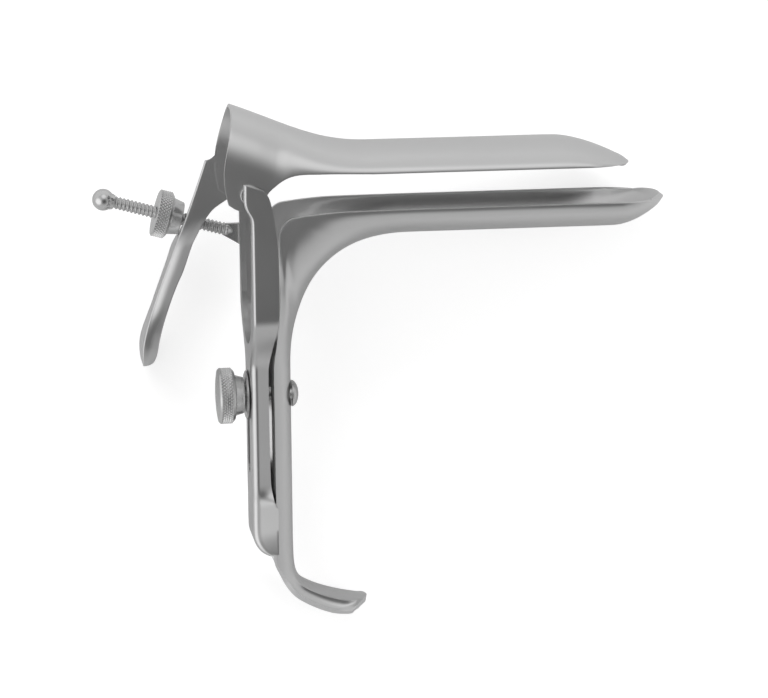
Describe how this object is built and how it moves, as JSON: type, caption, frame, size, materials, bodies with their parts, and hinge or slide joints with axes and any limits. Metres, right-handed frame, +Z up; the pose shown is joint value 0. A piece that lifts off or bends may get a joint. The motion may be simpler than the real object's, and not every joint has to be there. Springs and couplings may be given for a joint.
{
  "type": "vaginal speculum",
  "caption": "Stainless steel duckbill speculum: two hinged blades, thumb lever with screw nut and ball-ended rod, sliding yoke with clamp knob, channel handle.",
  "frame": {"origin": "bottom centre of the bounding box, on the table it lies on", "axes": "+Z up from the table; +X along the blades towards their tips; +Y from the handle's foot towards the blades; the instrument lies on its thumb lever's side"},
  "size_m": [0.154, 0.1388, 0.0483],
  "materials": {
    "lower_blade_steel": "satin",
    "upper_blade_steel": "satin",
    "yoke_steel": "satin",
    "rivet_steel": "satin",
    "clamp_steel": "satin, knurled knob",
    "rod_steel": "satin, threaded rod",
    "nut_steel": "satin, knurled"
  },
  "bodies": {
    "handle_and_lower_blade": {"lower_blade": "lower_blade_steel", "clamp_stud": "clamp_steel", "clamp_washer": "clamp_steel"},
    "yoke": {"yoke_frame": "yoke_steel", "hinge_rivet_near": "rivet_steel", "hinge_rivet_far": "rivet_steel", "hinge_washer_near": "rivet_steel", "hinge_washer_far": "rivet_steel", "rod_rivet": "rivet_steel"},
    "upper_blade_and_lever": {"upper_blade": "upper_blade_steel"},
    "rod": {"adjusting_rod": "rod_steel", "rod_ball_end": "rod_steel"},
    "nut": {"lever_nut": "nut_steel"},
    "knob": {"clamp_knob": "clamp_steel"}
  },
  "joints": [
    {"name": "yoke_slide", "type": "slide", "parent": "handle_and_lower_blade", "child": "yoke", "axis": [0.0276, 0.9839, 0.1765], "range_m": [-0.0044, 0.0185]},
    {"name": "blade_hinge", "type": "hinge", "parent": "yoke", "child": "upper_blade_and_lever", "pos_m": [-0.03533, 0.04724, 0.03108], "axis": [0.152, -0.1786, 0.9721], "range_deg": [-1.5, 24]},
    {"name": "rod_swivel", "type": "hinge", "parent": "yoke", "child": "rod", "pos_m": [-0.03528, 0.03485, 0.01007], "axis": [0.152, -0.1786, 0.9721], "range_deg": [-1.2, 17]},
    {"name": "nut_travel", "type": "slide", "parent": "rod", "child": "nut", "axis": [0.9447, -0.2629, -0.196], "range_m": [-0.0005, 0.0064]},
    {"name": "knob_spin", "type": "hinge", "parent": "handle_and_lower_blade", "child": "knob", "pos_m": [-0.03975, -0.00816, 0.02159], "axis": [-0.988, 0, 0.1544], "continuous": true}
  ],
  "couplings": [
    {"joint": "rod_swivel", "follows": "blade_hinge", "ratio": 0.7},
    {"joint": "nut_travel", "follows": "blade_hinge", "m_per_rad": 0.0151}
  ]
}
